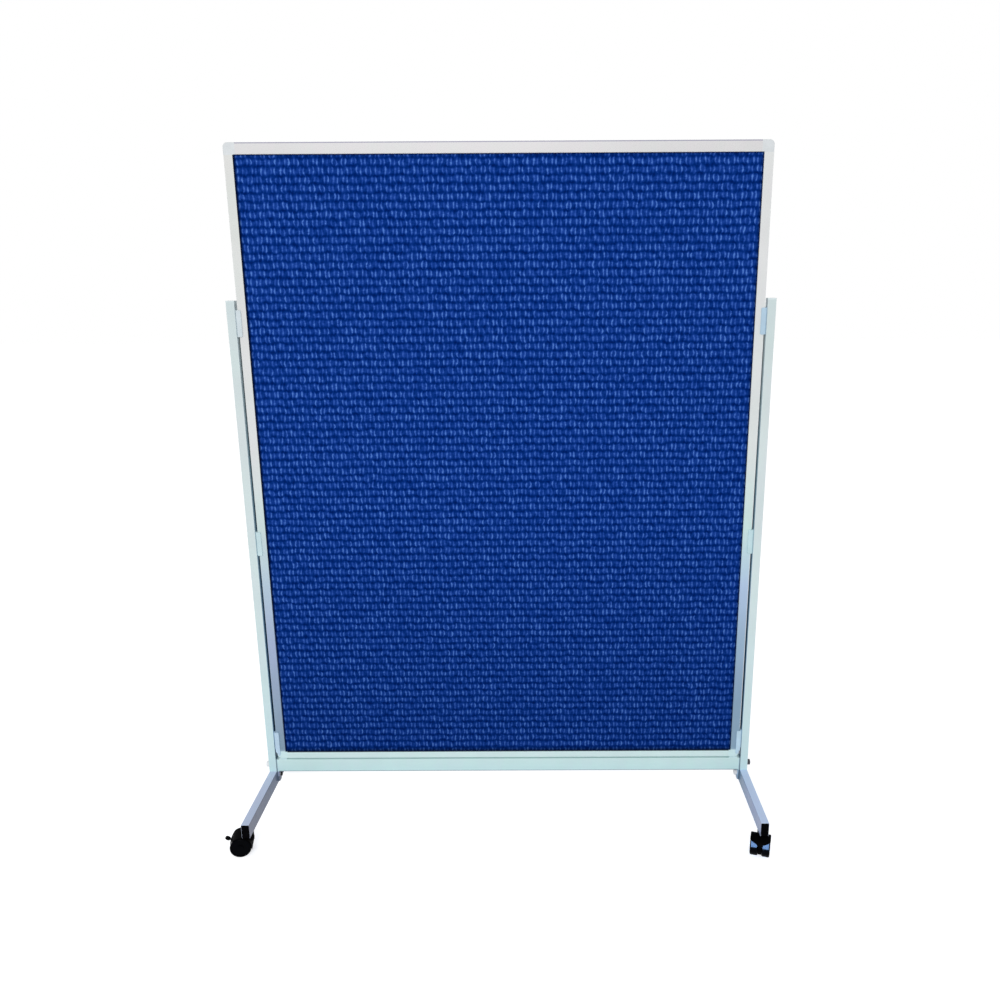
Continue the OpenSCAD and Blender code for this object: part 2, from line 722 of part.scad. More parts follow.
// Released brake lever: eye with pivot stubs, arm and round paddle
module brake_lever(i) {
    color("#1B1C21") at_castor(i) translate([0, -trail - pivot_out, wheel_r + pivot_up]) {
        rotate([0, 90, 0]) cylinder(r = eye_r, h = lever_w, center = true);
        rotate([0, 90, 0]) cylinder(d = pivot_d, h = web_w, center = true);
        rotate([-lever_tilt, 0, 0]) {
            translate([-lever_w / 2, -paddle_reach, -arm_h / 2]) cube([lever_w, paddle_reach, arm_h]);
            translate([0, -paddle_reach, -paddle_t / 2]) cylinder(d = paddle_d, h = paddle_t);
        }
    }
}

// ---- Whole ----

frame_rail(1);  // frame_rail_top
frame_rail(-1);  // frame_rail_bottom
frame_stile(-1);  // frame_stile_left
frame_stile(1);  // frame_stile_right
corner_piece(-1, 1);  // corner_top_left
corner_piece(1, 1);  // corner_top_right
corner_piece(-1, -1);  // corner_bottom_left
corner_piece(1, -1);  // corner_bottom_right
pinboard_core();
cloth(-1);  // cloth_front
cloth(1);  // cloth_back
seat_pads();
upright(-1);  // upright_left
upright(1);  // upright_right
upright_cap(-1);  // upright_cap_left
upright_cap(1);  // upright_cap_right
crossbar();
crossbar_plate(-1);  // crossbar_plate_left
crossbar_plate(1);  // crossbar_plate_right
foot(-1);  // foot_left
foot(1);  // foot_right
foot_cap(-1, -1);  // foot_cap_front_left
foot_cap(1, -1);  // foot_cap_front_right
foot_cap(-1, 1);  // foot_cap_rear_left
foot_cap(1, 1);  // foot_cap_rear_right
clip(-1, 0);  // clip_top_left
clip(1, 0);  // clip_top_right
clip(-1, 1);  // clip_middle_left
clip(1, 1);  // clip_middle_right
clip(-1, 2);  // clip_bottom_left
clip(1, 2);  // clip_bottom_right
clip_screws();
frame_bolts();
frame_washers();
frame_nuts();
bolt_covers();
castor_sockets();
for (i = [0:3]) {
    castor_hood(i);
    castor_stem(i);
    castor_axle(i);
    castor_wheel(i, -1);
    castor_wheel(i, 1);
    if (has_brake[i]) brake_lever(i);
}
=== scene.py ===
import bpy
from math import radians
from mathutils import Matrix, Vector


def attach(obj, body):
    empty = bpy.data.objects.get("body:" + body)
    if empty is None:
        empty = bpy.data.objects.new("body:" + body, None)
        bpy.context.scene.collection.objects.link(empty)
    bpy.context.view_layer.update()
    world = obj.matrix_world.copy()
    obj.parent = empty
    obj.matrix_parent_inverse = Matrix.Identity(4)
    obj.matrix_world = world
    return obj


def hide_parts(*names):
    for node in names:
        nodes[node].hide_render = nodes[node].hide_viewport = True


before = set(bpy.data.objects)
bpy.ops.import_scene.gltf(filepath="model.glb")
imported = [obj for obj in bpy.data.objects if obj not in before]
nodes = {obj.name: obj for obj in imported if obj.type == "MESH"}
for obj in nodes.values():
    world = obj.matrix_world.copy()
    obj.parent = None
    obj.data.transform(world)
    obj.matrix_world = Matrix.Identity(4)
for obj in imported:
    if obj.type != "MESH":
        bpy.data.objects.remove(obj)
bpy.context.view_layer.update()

# ---- Camera, floor and light ----
# The camera stands two metres in front of the panel at 1.36 m, a little right of the middle, and tips down 15 degrees,
# as solved from the photograph. The floor is plain white, and a large soft lamp above the camera lights the object in
# a white room.
camera_data = bpy.data.cameras.new("camera")
camera_data.sensor_width = 36.0
camera_data.lens = 31.47
camera_data.shift_x = -0.0384
camera = bpy.data.objects.new("camera", camera_data)
camera.location = (0.0871, -2.0421, 1.3576)
camera.rotation_euler = (radians(75.2198), radians(0.2901), radians(0.0435))
bpy.context.scene.collection.objects.link(camera)
bpy.context.scene.camera = camera
bpy.context.scene.view_settings.view_transform = "Standard"


def add(owner, kind, settings={}, links={}):
    """Adds a node to a material or the world. Settings are its properties, its unlinked sockets or, as stops, the
    places and linear colours of its ramp. Links are the nodes or sockets that feed it."""
    node = owner.node_tree.nodes.new(kind)
    for key, value in settings.items():
        if key == "stops":
            for i, (at, colour) in enumerate(value):
                stop = node.color_ramp.elements[i] if i < 2 else node.color_ramp.elements.new(at)
                stop.position, stop.color = at, colour
        elif isinstance(key, str) and hasattr(node, key):
            setattr(node, key, value)
        else:
            node.inputs[key].default_value = value
    for key, source in links.items():
        source = source.outputs[0] if isinstance(source, bpy.types.Node) else source
        owner.node_tree.links.new(source, node.inputs[key])
    return node


def emptied(owner):
    """A new material or world, ready for nodes."""
    owner.use_nodes = True
    owner.node_tree.nodes.clear()
    return owner


def looked_at(owner):
    """Is 1 on what the camera sees, straight or in a mirror image, and 0 on what only lights the object."""
    path = add(owner, "ShaderNodeLightPath")
    mirrored = add(owner, "ShaderNodeMath", {"operation": "MAXIMUM"},
                   {0: path.outputs["Is Glossy Ray"], 1: path.outputs["Is Transmission Ray"]})
    return add(owner, "ShaderNodeMath", {"operation": "MAXIMUM"}, {0: path.outputs["Is Camera Ray"], 1: mirrored})


def area_lamp(name, place, aim, width, height, watts):
    """A rectangular lamp that faces a point and that the camera doesn't see."""
    lamp_data = bpy.data.lights.new(name, "AREA")
    lamp_data.shape = "RECTANGLE"
    lamp_data.size = width
    lamp_data.size_y = height
    lamp_data.energy = watts
    lamp = bpy.data.objects.new(name, lamp_data)
    lamp.location = place
    lamp.rotation_euler = (Vector(aim) - Vector(place)).to_track_quat("-Z", "Y").to_euler()
    lamp.visible_camera = False
    bpy.context.scene.collection.objects.link(lamp)
    return lamp


room_light = 0.6
world = emptied(bpy.data.worlds.new("white_room"))
bpy.context.scene.world = world
lit = add(world, "ShaderNodeBackground", {"Color": (0.97, 0.985, 1, 1), "Strength": room_light})
seen = add(world, "ShaderNodeBackground", {"Color": (1, 1, 1, 1)})
room = add(world, "ShaderNodeMixShader", links={0: looked_at(world), 1: lit, 2: seen})
add(world, "ShaderNodeOutputWorld", links={"Surface": room})
area_lamp("softbox", place=(-0.45, -4.2, 2.6), aim=(0, 0, 0.75), width=1.7, height=1.2, watts=84)

# The glow lifts the floor to white in the picture and keeps the object's shadow.
floor_lift = 0.62
bpy.ops.object.select_all(action="DESELECT")
bpy.ops.mesh.primitive_plane_add(size=30, location=(0, 0, 0))
floor = bpy.context.object
floor.name = "floor"
floor_white = emptied(bpy.data.materials.new("floor_white"))
floor_diffuse = add(floor_white, "ShaderNodeBsdfDiffuse", {"Color": (0.8, 0.8, 0.8, 1)})
floor_seen = add(floor_white, "ShaderNodeMath", {"operation": "MULTIPLY", 1: floor_lift}, {0: looked_at(floor_white)})
floor_glow = add(floor_white, "ShaderNodeEmission", {"Color": (1, 1, 1, 1)}, {"Strength": floor_seen})
floor_surface = add(floor_white, "ShaderNodeAddShader", links={0: floor_diffuse, 1: floor_glow})
add(floor_white, "ShaderNodeOutputMaterial", links={"Surface": floor_surface})
floor.data.materials.append(floor_white)


def linear(hex_colour):
    """The linear colour of an sRGB hex value, as sockets take it."""
    parts = [int(hex_colour[i:i + 2], 16) / 255 for i in (1, 3, 5)]
    return (*(c / 12.92 if c <= 0.04045 else ((c + 0.055) / 1.055) ** 2.4 for c in parts), 1.0)


def dress(node_names, material):
    """Puts a material on CAD nodes, through the slots that they have."""
    for name in node_names:
        slots = nodes[name].material_slots
        if not slots:
            nodes[name].data.materials.append(material)
        for slot in slots:
            slot.material = material


def enamel(name, tones, edges=(), edge_axis="X", sides=(), grit_mm=1.6):
    """Powder coat over metal: even and satin, with faint orange peel, a little thinner and brighter along worn edges.
    The peel is drawn several times as coarse as it is, so that it shows. tones are (height in m, sRGB hex) pairs.
    edges are distances from the middle plane or, on edge axis "Z", heights. Each of sides is (near, far, tones, turn):
    the tones of a shaded strip between those distances, up the height or, with a turn of "Y", along the depth."""
    material = emptied(bpy.data.materials.new(name))
    place = add(material, "ShaderNodeTexCoord").outputs["Object"]
    axes = add(material, "ShaderNodeSeparateXYZ", links={0: place})
    distance = add(material, "ShaderNodeMath", {"operation": "ABSOLUTE"}, {0: axes.outputs["X"]})
    ramps = []
    for steps, axis in [(tones, "Z")] + [side[2:] for side in sides]:
        first, last = steps[0][0], steps[-1][0]
        along = add(material, "ShaderNodeMapRange", {"From Min": first, "From Max": last},
                    {"Value": axes.outputs[axis]})
        stops = [((at - first) / (last - first), linear(colour)) for at, colour in steps]
        ramps.append(add(material, "ShaderNodeValToRGB", {"stops": stops}, {"Fac": along}))
    tone = ramps[0].outputs["Color"]
    for (near, far, _, _), ramp in zip(sides, ramps[1:]):
        strip = add(material, "ShaderNodeMath", {"operation": "COMPARE", 1: (near + far) / 2, 2: (far - near) / 2},
                    {0: distance})
        shaded = add(material, "ShaderNodeMix", {"data_type": "RGBA"},
                     {"Factor": strip, 6: tone, 7: ramp.outputs["Color"]})
        tone = shaded.outputs[2]
    peel = add(material, "ShaderNodeTexNoise", {"Scale": 1000 / grit_mm, "Detail": 2.0}, {"Vector": place})
    # Thickness drifts over patches a hand wide, the chips are some 8 mm apart, and the hue leans a little to green or
    # rose over patches of 25 mm that are drawn out to 80 mm upwards.
    cloud = add(material, "ShaderNodeTexNoise", {"Scale": 9.0, "Detail": 3.0}, {"Vector": place})
    chips = add(material, "ShaderNodeTexNoise", {"Scale": 130.0, "Detail": 3.0}, {"Vector": place})
    shade = add(material, "ShaderNodeMapRange", {"From Min": 0.3, "From Max": 0.7, "To Min": 0.965, "To Max": 1.02},
                {"Value": cloud})
    stretched = add(material, "ShaderNodeVectorMath", {"operation": "MULTIPLY", 1: (40.0, 40.0, 12.0)}, {0: place})
    lean = add(material, "ShaderNodeTexNoise", {"Scale": 1.0, "Detail": 2.0}, {"Vector": stretched})
    greenish, rosy = (0.985, 1.0, 0.995, 1), (1.0, 0.988, 1.0, 1)
    tint = add(material, "ShaderNodeValToRGB", {"stops": [(0.38, greenish), (0.62, rosy)]}, {"Fac": lean})
    tinted = add(material, "ShaderNodeMix", {"data_type": "RGBA", "blend_type": "MULTIPLY", "Factor": 1.0},
                 {6: tone, 7: tint.outputs["Color"]})
    colour = add(material, "ShaderNodeMix", {"data_type": "RGBA", "blend_type": "MULTIPLY", "Factor": 1.0},
                 {6: tinted.outputs[2], 7: shade})
    for edge in edges:
        off = add(material, "ShaderNodeMath", {"operation": "SUBTRACT", 1: edge},
                  {0: axes.outputs["Z"] if edge_axis == "Z" else distance})
        off_by = add(material, "ShaderNodeMath", {"operation": "ABSOLUTE"}, {0: off})
        rim = add(material, "ShaderNodeMapRange", {"From Min": 0.0015, "From Max": 0.0004, "To Max": 1.0},
                  {"Value": off_by})
        worn = add(material, "ShaderNodeMapRange",
                   {"From Min": 0.35, "From Max": 0.6, "To Min": 0.05, "To Max": 0.35}, {"Value": chips})
        amount = add(material, "ShaderNodeMath", {"operation": "MULTIPLY"}, {0: rim, 1: worn})
        colour = add(material, "ShaderNodeMix", {"data_type": "RGBA", "blend_type": "SCREEN"},
                     {"Factor": amount, 6: colour.outputs[2], 7: tone})
    rough = add(material, "ShaderNodeMapRange", {"From Min": 0.3, "From Max": 0.7, "To Min": 0.36, "To Max": 0.48},
                {"Value": cloud})
    bump = add(material, "ShaderNodeBump", {"Strength": 0.12, "Distance": 0.0002}, {"Height": peel})
    surface = add(material, "ShaderNodeBsdfPrincipled", {"IOR": 1.5, "Specular IOR Level": 0.35},
                  {"Base Color": colour.outputs[2], "Roughness": rough, "Normal": bump})
    add(material, "ShaderNodeOutputMaterial", links={"Surface": surface})
    return material


# The stiles grow darker and bluer towards the floor: painted shade, deeper still on their sides facing the gap.
stile_rim = 0.5992
stile_gap_shade = (0.5994, 0.61, [(0.15, "#86A0B6"), (0.6, "#A6BCD2"), (0.9, "#CCD8DC"), (1.6, "#DADBDA")], "Z")
# A dark line of painted shade runs along the edge of the left stile's lip, darkest higher up.
shaded_lip = (0.577, 0.5803, [(0.15, "#8FA4BC"), (0.45, "#4A5C74"), (0.6, "#0C1A34"), (1.6, "#0C1A34")], "Z")
dress(["frame_stile_left"],
      enamel("powder_coat_stile_left",
             [(0.15, "#839CAD"), (0.29, "#92A6BE"), (0.45, "#A5B4D1"), (0.6, "#B5C9DA"), (0.75, "#CCDEDC"),
              (0.95, "#DDDFDF"), (1.6, "#D8D9D5")],
             edges=[stile_rim], sides=[stile_gap_shade, shaded_lip]))
dress(["frame_stile_right"],
      enamel("powder_coat_stile_right",
             [(0.15, "#8BA8BC"), (0.29, "#89A4BC"), (0.45, "#99B3CB"), (0.6, "#AFC6E2"), (0.75, "#CCE6E2"),
              (0.95, "#DCE0DF"), (1.6, "#DEDEDD")],
             edges=[stile_rim], sides=[stile_gap_shade]))
# A darker line of painted shade runs along the top rail under its upper edge, and the bottom rail's lip is painted
# dark as shade.
dress(["frame_rail_top"],
      enamel("powder_coat_top_rail",
             [(1.60, "#D6D4D4"), (1.6250, "#D8D6D6"), (1.6256, "#A3A1B2"), (1.6271, "#9A98AB"), (1.6275, "#D6D5D8"),
              (1.63, "#D6D5D8")],
             edges=[1.6035], edge_axis="Z"))
dress(["frame_rail_bottom"],
      enamel("powder_coat_bottom_rail",
             [(0.12, "#D6EEED"), (0.1449, "#D8F0EF"), (0.1454, "#33424F"), (0.2, "#33424F")]))

# ---- Corners of the frame ----
# Corner pieces moulded in ABS, in the frame's own pale tone. Their spigots push into the hollow rails and stiles, and
# they close the frame flush with it. The lower two are as light as the bottom rail low down, and higher up they carry
# the stiles' painted shade, darker and bluer.


def moulded(name, colour, rough=0.42, grain=0.15, gloss=0.4):
    """Injection-moulded plastic: even colour, fine grain from the mould, soft gloss. The grain is drawn a few times
    as coarse as it is, so that it shows, and the tone drifts a little over patches of 25 mm."""
    grain_mm = 0.8
    material = emptied(bpy.data.materials.new(name))
    place = add(material, "ShaderNodeTexCoord").outputs["Object"]
    mould_grain = add(material, "ShaderNodeTexNoise", {"Scale": 1000 / grain_mm, "Detail": 3.0}, {"Vector": place})
    cloud = add(material, "ShaderNodeTexNoise", {"Scale": 40.0, "Detail": 3.0}, {"Vector": place})
    tone = add(material, "ShaderNodeMapRange", {"From Min": 0.3, "From Max": 0.7, "To Min": 0.93, "To Max": 1.05},
               {"Value": cloud})
    mixed = add(material, "ShaderNodeMix",
                {"data_type": "RGBA", "blend_type": "MULTIPLY", "Factor": 1.0, 6: linear(colour)}, {7: tone})
    roughness = add(material, "ShaderNodeMapRange",
                    {"From Min": 0.3, "From Max": 0.7, "To Min": rough - 0.06, "To Max": rough + 0.06},
                    {"Value": cloud})
    bump = add(material, "ShaderNodeBump", {"Strength": grain, "Distance": 0.0001}, {"Height": mould_grain})
    surface = add(material, "ShaderNodeBsdfPrincipled", {"IOR": 1.53, "Specular IOR Level": gloss},
                  {"Base Color": mixed.outputs[2], "Roughness": roughness, "Normal": bump})
    add(material, "ShaderNodeOutputMaterial", links={"Surface": surface})
    return material


dress(["corner_top_left", "corner_top_right"], moulded("abs_corner_upper", "#D4D8DA"))
for corner, shaded_low, shaded_high in (("left", "#8CA2B4", "#869DB0"), ("right", "#90ACC0", "#88A6BC")):
    dress(["corner_bottom_" + corner],
          enamel("abs_corner_lower_" + corner,
                 [(0.12, "#D6F1F2"), (0.1465, "#D6F1F2"), (0.151, shaded_low), (0.2, shaded_high)], grit_mm=0.8))

# ---- Board ----
# Soft fibreboard, dull and tan, with matted fibres some 1.4 mm across. It fills the frame, and pins go into it through
# the cloth. Only its edge could ever show.
softboard = emptied(bpy.data.materials.new("softboard"))
board_place = add(softboard, "ShaderNodeTexCoord").outputs["Object"]
fibres = add(softboard, "ShaderNodeTexNoise", {"Scale": 700.0, "Detail": 4.0}, {"Vector": board_place})
fibre_tone = add(softboard, "ShaderNodeValToRGB", {"stops": [(0.0, linear("#8C6C45")), (1.0, linear("#C8A97C"))]},
                 {"Fac": fibres})
fibre_bump = add(softboard, "ShaderNodeBump", {"Strength": 0.4, "Distance": 0.0004}, {"Height": fibres})
board_surface = add(softboard, "ShaderNodeBsdfPrincipled", {"Roughness": 0.9},
                    {"Base Color": fibre_tone, "Normal": fibre_bump})
add(softboard, "ShaderNodeOutputMaterial", links={"Surface": board_surface})
dress(["pinboard_core"], softboard)

# ---- Cloth ----
# Coarse blue furnishing cloth, taken for woven wool, stretched over both faces of the board and held by the frame's
# lips. Pairs of thick upright yarns float over a cord weft, and the pairs step sideways from row to row. It is quite
# matt. Its light flecks where the yarns stand up and its dark dips between the rows are partly painted light and
# shade of the weave's relief.
row_mm = 18.2
pair_mm = 20.9
yarn_from_middle_mm = 4.2
yarn_half_mm = 3.0
bend_mm = (-3.0, 4.2)
twist_mm = 1.6
lip_side, lip_low, lip_high = 0.579, 0.1465, 1.603
wool = emptied(bpy.data.materials.new("woven_wool_cloth"))
cloth_place = add(wool, "ShaderNodeTexCoord").outputs["Object"]
flat_place = add(wool, "ShaderNodeSeparateXYZ", links={0: cloth_place})
# Hand of the cloth: rows and yarns wander by up to a few millimetres.
wander = (0.007, 0.0, 0.012)
sway = add(wool, "ShaderNodeTexNoise", {"Scale": 42.0, "Detail": 2.0}, {"Vector": cloth_place})
swayed = add(wool, "ShaderNodeVectorMath", {"operation": "MULTIPLY_ADD", 1: wander},
             {0: sway.outputs["Color"], 2: cloth_place})
thread_place = add(wool, "ShaderNodeSeparateXYZ", links={0: swayed})
rows = add(wool, "ShaderNodeMath", {"operation": "MULTIPLY", 1: 1000 / row_mm}, {0: thread_place.outputs["Z"]})
row_number = add(wool, "ShaderNodeMath", {"operation": "FLOOR"}, {0: rows})
row_part = add(wool, "ShaderNodeMath", {"operation": "FRACT"}, {0: rows})
across_row = add(wool, "ShaderNodeMath", {"operation": "SUBTRACT", 1: 0.5}, {0: row_part})
row_reach = add(wool, "ShaderNodeMath", {"operation": "ABSOLUTE"}, {0: across_row})
odd_row = add(wool, "ShaderNodeMath", {"operation": "MODULO", 1: 2.0}, {0: row_number})
step = add(wool, "ShaderNodeMath", {"operation": "MULTIPLY", 1: 0.5}, {0: odd_row})
pairs = add(wool, "ShaderNodeMath", {"operation": "MULTIPLY_ADD", 1: 1000 / pair_mm},
            {0: thread_place.outputs["X"], 2: step})
pair_number = add(wool, "ShaderNodeMath", {"operation": "FLOOR"}, {0: pairs})
pair_part = add(wool, "ShaderNodeMath", {"operation": "FRACT"}, {0: pairs})
pair_side = add(wool, "ShaderNodeMath", {"operation": "SUBTRACT", 1: 0.5}, {0: pair_part})
pair_reach = add(wool, "ShaderNodeMath", {"operation": "ABSOLUTE"}, {0: pair_side})
# Each floating yarn has a brightness, a bend and a place in its row of its own.
place_in_row, bow, bow_middle = 0.18, -4.0, 0.3
right_yarn = add(wool, "ShaderNodeMath", {"operation": "GREATER_THAN", 1: 0.0}, {0: pair_side})
float_key = add(wool, "ShaderNodeCombineXYZ", links={0: pair_number, 1: row_number, 2: right_yarn})
float_own = add(wool, "ShaderNodeTexWhiteNoise", {"noise_dimensions": "3D"}, {"Vector": float_key})
own = add(wool, "ShaderNodeSeparateColor", links={0: float_own.outputs["Color"]})
lowered = add(wool, "ShaderNodeMath", {"operation": "SUBTRACT", 1: place_in_row / 2}, {0: across_row})
shifted = add(wool, "ShaderNodeMath", {"operation": "MULTIPLY_ADD", 1: place_in_row}, {0: own.outputs[2], 2: lowered})
squared = add(wool, "ShaderNodeMath", {"operation": "MULTIPLY"}, {0: shifted, 1: shifted})
arc = add(wool, "ShaderNodeMath", {"operation": "MULTIPLY_ADD", 1: bow, 2: bow_middle}, {0: squared})
bend = add(wool, "ShaderNodeMapRange", {"To Min": bend_mm[0] / pair_mm, "To Max": bend_mm[1] / pair_mm},
           {"Value": own.outputs[1]})
yarn_line = add(wool, "ShaderNodeMath", {"operation": "MULTIPLY_ADD", 2: yarn_from_middle_mm / pair_mm},
                {0: arc, 1: bend})
from_line = add(wool, "ShaderNodeMath", {"operation": "SUBTRACT"}, {0: pair_reach, 1: yarn_line})
line_reach = add(wool, "ShaderNodeMath", {"operation": "ABSOLUTE"}, {0: from_line})
yarn = add(wool, "ShaderNodeMapRange",
           {"interpolation_type": "SMOOTHSTEP", "From Min": yarn_half_mm / pair_mm, "From Max": 0.0},
           {"Value": line_reach})
shift_reach = add(wool, "ShaderNodeMath", {"operation": "ABSOLUTE"}, {0: shifted})
yarn_ends = add(wool, "ShaderNodeMapRange", {"interpolation_type": "SMOOTHSTEP", "From Min": 0.5, "From Max": 0.18,
                                             "To Min": 0.35, "To Max": 1.0}, {"Value": shift_reach})
yarn_light = add(wool, "ShaderNodeMapRange", {"To Min": 0.4, "To Max": 1.0}, {"Value": own.outputs[0]})
yarn_shape = add(wool, "ShaderNodeMath", {"operation": "MULTIPLY"}, {0: yarn, 1: yarn_ends})
floats = add(wool, "ShaderNodeMath", {"operation": "MULTIPLY"}, {0: yarn_shape, 1: yarn_light})
# Between two pairs a thinner strand of the weft's cover shows, deeper down.
cell = add(wool, "ShaderNodeMapRange", {"interpolation_type": "SMOOTHSTEP", "From Min": 0.5 - yarn_half_mm / pair_mm,
                                        "From Max": 0.5, "To Max": 0.22}, {"Value": pair_reach})
cell_ends = add(wool, "ShaderNodeMapRange", {"interpolation_type": "SMOOTHSTEP", "From Min": 0.42, "From Max": 0.1},
                {"Value": row_reach})
under = add(wool, "ShaderNodeMath", {"operation": "MULTIPLY_ADD"}, {0: cell, 1: cell_ends, 2: floats})
# Wool fibres: loose fuzz in tufts of some 4 mm, and the yarn's twist, which is drawn a little coarser than it is.
twist_slant, twist_light, turn_per_m = 0.8, 0.1, 6283.0
fuzz = add(wool, "ShaderNodeTexNoise", {"Scale": 260.0, "Detail": 5.0, "Roughness": 0.7}, {"Vector": cloth_place})
fuzz_light = add(wool, "ShaderNodeMapRange", {"From Min": 0.25, "From Max": 0.75, "To Min": 0.6, "To Max": 1.4},
                 {"Value": fuzz})
slant = add(wool, "ShaderNodeMath", {"operation": "MULTIPLY_ADD", 1: twist_slant},
            {0: flat_place.outputs["Z"], 2: flat_place.outputs["X"]})
turns = add(wool, "ShaderNodeMath", {"operation": "MULTIPLY", 1: turn_per_m / twist_mm}, {0: slant})
twist = add(wool, "ShaderNodeMath", {"operation": "SINE"}, {0: turns})
strands = add(wool, "ShaderNodeMath", {"operation": "MULTIPLY_ADD", 1: twist_light, 2: 1.0}, {0: twist})
fuzzy = add(wool, "ShaderNodeMath", {"operation": "MULTIPLY"}, {0: under, 1: fuzz_light})
lifted = add(wool, "ShaderNodeMath", {"operation": "MULTIPLY"}, {0: fuzzy, 1: strands})
# The rows' weft cord is mid blue. Between two rows the cloth dips into shade once for each pair, and lighter strands
# that link the rows lie between the dips.
gap_rows = add(wool, "ShaderNodeMath", {"operation": "ADD", 1: 0.5}, {0: rows})
gap_number = add(wool, "ShaderNodeMath", {"operation": "FLOOR"}, {0: gap_rows})
odd_gap = add(wool, "ShaderNodeMath", {"operation": "MODULO", 1: 2.0}, {0: gap_number})
gap_step = add(wool, "ShaderNodeMath", {"operation": "MULTIPLY_ADD", 1: 0.5, 2: 0.25}, {0: odd_gap})
gap_pairs = add(wool, "ShaderNodeMath", {"operation": "MULTIPLY_ADD", 1: 1000 / pair_mm},
                {0: thread_place.outputs["X"], 2: gap_step})
gap_part = add(wool, "ShaderNodeMath", {"operation": "FRACT"}, {0: gap_pairs})
gap_side = add(wool, "ShaderNodeMath", {"operation": "SUBTRACT", 1: 0.5}, {0: gap_part})
gap_reach = add(wool, "ShaderNodeMath", {"operation": "ABSOLUTE"}, {0: gap_side})
link = add(wool, "ShaderNodeMapRange", {"interpolation_type": "SMOOTHSTEP", "From Min": 0.14, "From Max": 0.4,
                                        "To Max": 0.1}, {"Value": gap_reach})
# The shade in the gaps changes over patches of 13 by 8 mm.
gap_patches = (75.0, 75.0, 120.0)
long_place = add(wool, "ShaderNodeVectorMath", {"operation": "MULTIPLY", 1: gap_patches}, {0: cloth_place})
gap_noise = add(wool, "ShaderNodeTexNoise", {"Scale": 1.0, "Detail": 2.0}, {"Vector": long_place})
gap_cloud = add(wool, "ShaderNodeMapRange", {"From Min": 0.38, "From Max": 0.62, "To Min": 0.02, "To Max": 0.18},
                {"Value": gap_noise})
gap_light = add(wool, "ShaderNodeMath", {"operation": "ADD"}, {0: gap_cloud, 1: link})
row_ground = add(wool, "ShaderNodeMapRange", {"interpolation_type": "SMOOTHSTEP", "From Min": 0.5, "From Max": 0.14},
                 {"Value": row_reach})
pair_ground = add(wool, "ShaderNodeMapRange", {"interpolation_type": "SMOOTHSTEP", "From Min": 0.48, "From Max": 0.2,
                                               "To Min": 0.16, "To Max": 0.32}, {"Value": pair_reach})
ground = add(wool, "ShaderNodeMath", {"operation": "MULTIPLY_ADD"}, {0: row_ground, 1: pair_ground, 2: gap_light})
fuzz_ground = add(wool, "ShaderNodeMapRange", {"From Min": 0.25, "From Max": 0.75, "To Min": 0.84, "To Max": 1.16},
                  {"Value": fuzz})
soft_ground = add(wool, "ShaderNodeMath", {"operation": "MULTIPLY"}, {0: ground, 1: fuzz_ground})
float_share = 0.57
weave = add(wool, "ShaderNodeMath", {"operation": "MULTIPLY_ADD", 1: float_share}, {0: lifted, 2: soft_ground})
tone = add(wool, "ShaderNodeValToRGB",
           {"stops": [(0.0, linear("#00185A")), (0.25, linear("#042B77")), (0.5, linear("#163D92")),
                      (0.75, linear("#3057AF")), (1.0, linear("#527ECC"))]}, {"Fac": weave})
weave_bump = add(wool, "ShaderNodeBump", {"Strength": 0.35, "Distance": 0.0012}, {"Height": weave})
# Painted shade darkens the cloth along the frame's lips, where it is pressed in, and a little towards the floor.
dim_side, dim_low, dim_high = 0.008, 0.013, 0.0055
side_reach = add(wool, "ShaderNodeMath", {"operation": "ABSOLUTE"}, {0: flat_place.outputs["X"]})
side_light = add(wool, "ShaderNodeMapRange", {"interpolation_type": "SMOOTHSTEP", "From Min": lip_side,
                                              "From Max": lip_side - dim_side}, {"Value": side_reach})
low_light = add(wool, "ShaderNodeMapRange", {"interpolation_type": "SMOOTHSTEP", "From Min": lip_low,
                                             "From Max": lip_low + dim_low}, {"Value": flat_place.outputs["Z"]})
high_light = add(wool, "ShaderNodeMapRange", {"interpolation_type": "SMOOTHSTEP", "From Min": lip_high,
                                              "From Max": lip_high - dim_high}, {"Value": flat_place.outputs["Z"]})
rails_light = add(wool, "ShaderNodeMath", {"operation": "MULTIPLY"}, {0: low_light, 1: high_light})
rim_light = add(wool, "ShaderNodeMath", {"operation": "MULTIPLY"}, {0: side_light, 1: rails_light})
edge_light = add(wool, "ShaderNodeMapRange", {"To Min": 0.2, "To Max": 1.0}, {"Value": rim_light})
height_light = add(wool, "ShaderNodeMapRange", {"From Min": 0.2, "From Max": 0.8, "To Min": 0.83, "To Max": 0.96},
                   {"Value": flat_place.outputs["Z"]})
cloth_light = add(wool, "ShaderNodeMath", {"operation": "MULTIPLY"}, {0: edge_light, 1: height_light})
cloth_colour = add(wool, "ShaderNodeMix", {"data_type": "RGBA", "blend_type": "MULTIPLY", "Factor": 1.0},
                   {6: tone.outputs["Color"], 7: cloth_light})
cloth_surface = add(wool, "ShaderNodeBsdfPrincipled", {"Roughness": 1.0, "Specular IOR Level": 0.0},
                    {"Base Color": cloth_colour.outputs[2], "Normal": weave_bump})
add(wool, "ShaderNodeOutputMaterial", links={"Surface": cloth_surface})

